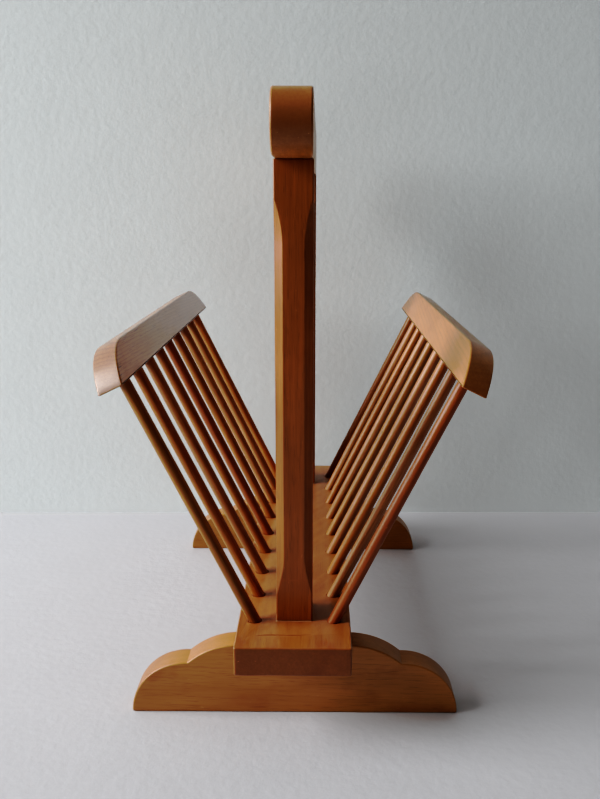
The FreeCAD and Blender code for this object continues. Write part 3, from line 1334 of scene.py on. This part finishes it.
@dataclass
class HandleFrame:
    """Two stop-chamfered uprights with the handle rail across their tops.

    The bead of glue is given in millimetres, out from the upright and up from the board.
    """

    finish: bpy.types.Material
    handle_finish: bpy.types.Material
    glue: bpy.types.Material
    chamfer: float = 5.85 * MM
    top_stop_drop: float = 26.0 * MM
    top_stop_length: float = 30.0 * MM
    bottom_stop_rise: float = 23.0 * MM
    bottom_stop_length: float = 26.0 * MM
    top_stop_power: float = 1.9
    bottom_stop_power: float = 1.35
    arris: float = 0.7 * MM
    softness: float = 0.5 * MM
    soft_corner: Sequence[Point] = ((0.0, -1.0), (0.08, -0.15), (0.45, 0.55))
    shoulder_ease: float = 0.45 * MM
    shoulder_reach: float = 0.8 * MM
    sway: float = 0.10 * MM
    sway_pitch: float = 14.0
    rows: int = 40
    top_stop_rows: int = 24
    bottom_stop_rows: int = 20
    handle_end_steps: int = 36
    bead: Sequence[Point] = ((-0.5, 0.0), (0.55, 0.0), (0.35, 0.28), (0.0, 0.42), (-0.5, 0.45))
    bead_inset: float = 0.3 * MM
    bead_pitch: float = 260.0

    def chamfer_at(self, below_top: float, above_bottom: float) -> float:
        """Leg of the chamfer at one height.

        Args:
            below_top: Distance below the top shoulder.
            above_bottom: Distance above the bottom shoulder.

        Returns:
            The leg, which is a plain eased arris beyond the stops.
        """
        down = (below_top - self.top_stop_drop) / self.top_stop_length
        rise = (above_bottom - self.bottom_stop_rise) / self.bottom_stop_length
        share = min(stop_curve(down, self.top_stop_power), stop_curve(rise, self.bottom_stop_power))
        return self.arris + (self.chamfer - self.arris) * share

    def section(self, half: float, leg: float) -> list[Point]:
        """Cross-section of an upright, with its four corners cut off.

        Args:
            half: Half of the upright's side.
            leg: Leg of the chamfer.

        Returns:
            Points round the section.
        """
        soft = min(self.softness, leg * MOST_OF_RUN)
        corner = [(half - soft * inset, half - leg + soft * rise) for inset, rise in self.soft_corner]
        corner += [(v, u) for u, v in reversed(corner)]
        between = (half - leg - soft) / 2.0
        quarter = corner + [(between, half), (0.0, half), (-between, half)]
        points: list[Point] = []
        for cosine, sine in QUARTER_TURNS:
            points += [(u * cosine - v * sine, u * sine + v * cosine) for u, v in quarter]
        return points

    def heights(self, length: float) -> list[float]:
        """Choose the heights of an upright's sections, close together at the stops.

        Args:
            length: Length of the upright between its shoulders.

        Returns:
            The heights, in order.
        """
        marks = {0.0, length}
        for near in (0.35 * MM, self.shoulder_reach):
            marks |= {near, length - near}
        marks |= {length * row / self.rows for row in range(1, self.rows)}
        top, bottom = length - self.top_stop_drop, self.bottom_stop_rise
        marks |= {top - self.top_stop_length * row / self.top_stop_rows
                  for row in range(-1, self.top_stop_rows + 2)}
        marks |= {bottom + self.bottom_stop_length * row / self.bottom_stop_rows
                  for row in range(-1, self.bottom_stop_rows + 2)}
        return sorted(marks)

    def make_upright(self, end: End, cut: Cut) -> bpy.types.Object:
        """Shape one upright.

        Args:
            end: Which end of the rack it stands at.
            cut: How the upright was cut from the log.

        Returns:
            The finished upright.
        """
        node = end.value + "_upright"
        centre = node_centre(node)
        half = node_size(node).x / 2.0
        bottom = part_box("base_board")[1].z
        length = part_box("handle_rail")[0].z - bottom
        phase = 3.0 if end is End.FRONT else 8.0
        sections = []
        for height in self.heights(length):
            leg = self.chamfer_at(length - height, height)
            near_end = max(0.0, 1.0 - min(height, length - height) / self.shoulder_reach)
            sway = self.sway * noise.noise(Vector((height * self.sway_pitch, half, phase)))
            section = self.section(half - self.shoulder_ease * near_end, leg)
            sections.append([Vector((height, u + sway, v)) for u, v in section])
        shell = Shell()
        shell.loft(sections)
        placing = placing_along(Vector((0.0, centre.y, bottom)), UP, TO_RIGHT)
        return Piece(node + "_shaped", shell, placing, cut, self.finish, Slot.FRAME, (node,),
                     smooth=30.0).make()

    def make_handle(self) -> bpy.types.Object:
        """Shape the handle rail, with half-round ends.

        Returns:
            The finished handle rail.
        """
        size, centre = node_size("handle_rail"), node_centre("handle_rail")
        radius = size.z / 2.0
        straight = size.y / 2.0 - radius
        outline = Outline()
        outline.arc((straight, 0.0), (radius, radius), -90.0, 90.0, self.handle_end_steps)
        outline.arc((-straight, 0.0), (radius, radius), 90.0, 270.0, self.handle_end_steps)
        board = EasedBoard(size.x, ease=1.5 * MM, corner=3.0 * MM, seed=41, rows=5)
        placing = placing_along(centre, TO_REAR, UP)
        cut = Cut(heart=(0.03, 0.05), along=3.1, slope=-0.9)
        return Piece("handle_rail_shaped", board.cut(outline), placing, cut, self.handle_finish, Slot.FRAME,
                     ("handle_rail",)).make()

    def make_glue_line(self, end: End) -> bpy.types.Object:
        """Thin dried bead round the foot of an upright.

        Args:
            end: Which end of the rack it stands at.

        Returns:
            The finished bead.
        """
        node = end.value + "_upright"
        centre, pitch = node_centre(node), self.bead_pitch
        half = node_size(node).x / 2.0
        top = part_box("base_board")[1].z
        shell = Shell()
        rings = []
        for out, rise in self.bead:
            ring = []
            for u, v in self.section(half, self.arris + self.bead_inset):
                direction = Vector((u, v)).normalized()
                swell = 1.0 + 0.5 * noise.noise(Vector((u * pitch, v * pitch, centre.y)))
                reach = Vector((u, v)) + direction * out * MM * swell
                ring.append(Vector((rise * MM * swell, reach.x, reach.y)))
            rings.append(shell.ring(ring))
        for first, second in zip(rings, rings[1:] + rings[:1]):
            shell.band(first, second)
        placing = placing_along(Vector((0.0, centre.y, top)), UP, TO_RIGHT)
        return Piece(end.value + "_glue_line", shell, placing, Cut(), self.glue, Slot.FRAME, ()).make()

    def make(self) -> None:
        """Build both uprights and the handle rail."""
        self.make_upright(End.FRONT, Cut(heart=(0.05, 0.035), along=-2.2, slope=0.5, roll=20.0))
        self.make_upright(End.REAR, Cut(heart=(0.03, 0.06), along=2.6, slope=-0.7, roll=50.0))
        self.make_handle()
        for end in End:
            self.make_glue_line(end)


def stop_curve(share: float, power: float) -> float:
    """Depth of a chamfer through its stop: steep where it starts, and level where it is full.

    Args:
        share: 0 where the stop starts and 1 where the chamfer is full.
        power: How soon the chamfer is nearly full.

    Returns:
        The depth as a share of the full chamfer.
    """
    held = max(0.0, min(1.0, share))
    return 1.0 - (1.0 - held) ** power


# ---------------------------------------------------------------------------------------------
# Studio
# ---------------------------------------------------------------------------------------------


# Number of the tone curve that acts on all three colours together.
COMBINED_CURVE = 3


@dataclass
class Studio:
    """Pale floor and backdrop, a large soft window light from the left, and the camera.

    Angles are in degrees. The toe is the dark end of the tone curve.
    """

    camera_place: Triple = (0.0173, -0.7097, 0.3864)
    camera_pitch: float = 13.84
    camera_roll: float = 0.33
    lens: float = 48.0
    shift: float = -0.031
    backdrop_y: float = 0.253
    backdrop_turn: float = 1.0
    backdrop_colour: Colour = (0.86, 0.91, 0.91)
    floor_colour: Colour = (0.57, 0.565, 0.59)
    half_width: float = 3.0
    half_depth: float = 4.0
    backdrop_sink: float = 10.0 * MM
    backdrop_height: float = 2.5
    window_place: Triple = (-2.0, -0.35, 1.2)
    window_target: Triple = (0.0, -0.05, 0.2)
    window_size: Point = (1.3, 1.4)
    window_spread: float = 80.0
    window_power: float = 20.0
    window_colour: Colour = (0.97, 0.99, 1.0)
    ceiling: Colour = (0.30, 0.29, 0.27)
    room: Colour = (0.075, 0.074, 0.070)
    toe_end: float = 0.16
    toe_power: float = 2.1
    toe_places: Sequence[float] = (0.02, 0.045, 0.08, 0.12, 0.16, 0.3, 0.6)

    def make_camera(self) -> None:
        """Set up the camera."""
        data = bpy.data.cameras.new("camera")
        data.sensor_fit = "HORIZONTAL"
        data.sensor_width = 36.0
        data.lens = self.lens
        data.shift_x = self.shift
        data.clip_start = 0.02
        camera = bpy.data.objects.new("camera", data)
        tilt = Matrix.Rotation(math.radians(90.0 - self.camera_pitch), 4, "X")
        roll = Matrix.Rotation(math.radians(self.camera_roll), 4, "Z")
        camera.matrix_world = Matrix.Translation(self.camera_place) @ tilt @ roll
        bpy.context.scene.collection.objects.link(camera)
        bpy.context.scene.camera = camera

    def make_sheet(self, name: str, corners: Sequence[Vector], finish: PlainFinish) -> None:
        """Add one flat sheet of the studio.

        Args:
            name: Name of the object.
            corners: Its four corners, anticlockwise from its front.
            finish: Finish of the sheet.
        """
        mesh = bpy.data.meshes.new(name)
        mesh.from_pydata(corners, [], [(0, 1, 2, 3)])
        mesh.materials.append(finish.build())
        sheet = bpy.data.objects.new(name, mesh)
        bpy.context.scene.collection.objects.link(sheet)

    def make_window(self) -> None:
        """Add the window: one rectangular soft light that faces the rack."""
        data = bpy.data.lights.new("window", "AREA")
        data.shape = "RECTANGLE"
        data.size, data.size_y = self.window_size
        data.energy = self.window_power
        data.spread = math.radians(self.window_spread)
        data.color = self.window_colour
        light = bpy.data.objects.new("window", data)
        light.location = self.window_place
        facing = Vector(self.window_target) - Vector(self.window_place)
        light.rotation_euler = facing.to_track_quat("-Z", "Y").to_euler()
        bpy.context.scene.collection.objects.link(light)

    def make_world(self) -> None:
        """Set the dim light of the room, which comes mostly from its ceiling."""
        world = bpy.data.worlds.new("room")
        world.use_nodes = True
        nodes, links = world.node_tree.nodes, world.node_tree.links
        direction = nodes.new("ShaderNodeTexCoord").outputs["Generated"]
        split = nodes.new("ShaderNodeSeparateXYZ")
        links.new(direction, split.inputs[0])
        ramp = nodes.new("ShaderNodeValToRGB")
        stops = ((0.45, self.room), (1.0, self.ceiling))
        for element, (position, colour) in zip(ramp.color_ramp.elements, stops):
            element.position = position
            element.color = (*colour, 1.0)
        links.new(split.outputs["Z"], ramp.inputs["Fac"])
        links.new(ramp.outputs["Color"], nodes["Background"].inputs["Color"])
        bpy.context.scene.world = world

    def set_tones(self) -> None:
        """Set the contrast of the picture, with shadows that close up as on a print."""
        view = bpy.context.scene.view_settings
        view.view_transform = "Standard"
        view.use_curve_mapping = True
        curve = view.curve_mapping.curves[COMBINED_CURVE]
        for place in self.toe_places:
            curve.points.new(place, place * min(1.0, place / self.toe_end) ** (self.toe_power - 1.0))
        view.curve_mapping.update()

    def make(self) -> None:
        """Build the whole studio."""
        self.make_camera()
        self.make_world()
        wide, deep = self.half_width, self.half_depth
        floor = [Vector((-wide, -deep, 0.0)), Vector((wide, -deep, 0.0)), Vector((wide, deep, 0.0)),
                 Vector((-wide, deep, 0.0))]
        self.make_sheet("studio_floor", floor, PlainFinish("floor_paint", self.floor_colour))
        slant = wide * math.tan(math.radians(self.backdrop_turn))
        near, far = self.backdrop_y - slant, self.backdrop_y + slant
        low, high = -self.backdrop_sink, self.backdrop_height
        back = [Vector((-wide, near, low)), Vector((wide, far, low)), Vector((wide, far, high)),
                Vector((-wide, near, high))]
        self.make_sheet("studio_backdrop", back,
                        PlainFinish("backdrop_paint", self.backdrop_colour, one_sided=True))
        self.make_window()
        self.set_tones()


# ---------------------------------------------------------------------------------------------
# Assembly
# ---------------------------------------------------------------------------------------------


def main() -> None:
    """Build the studio, then the rack's sub-assemblies in order."""
    logging.basicConfig(level=logging.INFO, format="%(name)s: %(message)s")
    Studio().make()
    foot_wood = WoodFinish("foot_wood", (0.400, 0.184, 0.050), ring_depth=0.08, streak_depth=0.12,
                           fibre_depth=0.10).build()
    board_wood = WoodFinish("board_wood", (0.330, 0.133, 0.038), wear_and_highlight_depth=0.5, stain_depth=0.55,
                            end_depth=0.65).build()
    handle_wood = WoodFinish("handle_wood", (0.44, 0.205, 0.066), stain_depth=0.6, end_depth=0.85).build()
    upright_wood = WoodFinish("upright_wood", (0.325, 0.120, 0.030), stain_depth=0.25).build()
    left_rail_wood = WoodFinish("left_rail_wood", (0.345, 0.160, 0.052), ring_spacing=2.4 * MM,
                                ring_depth=0.60, pore_depth=0.7, coat=0.85, coat_roughness=0.25,
                                end_depth=0.75).build()
    right_rail_wood = WoodFinish("right_rail_wood", (0.405, 0.185, 0.053), ring_spacing=3.4 * MM,
                                 ring_depth=0.34, coat=0.5, end_depth=0.75).build()
    spindle_woods = {
        tone: WoodFinish("spindle_" + tone.name.lower(), tone.value, ring_depth=0.25, fibre_depth=0.46,
                         streak_depth=0.32, coat=0.25, coat_roughness=0.42).build()
        for tone in SpindleTone}
    steel = SteelFinish(Slot.SCREW.value).build()
    # The glue's painted shade in corners reaches only 1 mm.
    glue = WoodFinish("dried_glue", (0.42, 0.23, 0.12), coat=0.4, shade_reach=1.0 * MM).build()

    tan, amber, olive, red = SpindleTone
    left_tones = (olive, amber, tan, amber, red, amber, tan, tan, amber)
    right_tones = (red, tan, amber, tan, olive, tan, amber, tan, amber)
    rows = (SpindleRow(Side.LEFT, spindle_woods, left_tones, left_rail_wood,
                       Cut(heart=(0.035, 0.012), along=0.4, slope=2.2)),
            SpindleRow(Side.RIGHT, spindle_woods, right_tones, right_rail_wood,
                       Cut(heart=(0.05, -0.02), along=-0.9, slope=-5.0)))
    drills = [tool for row in rows for tool in row.socket_tools(clearance=0.35 * MM, depth=1.0 * MM)]
    Base(board_wood, foot_wood, steel).make(drills)
    HandleFrame(upright_wood, handle_wood, glue).make()
    for row in rows:
        row.make()


if __name__ == "__main__":
    main()
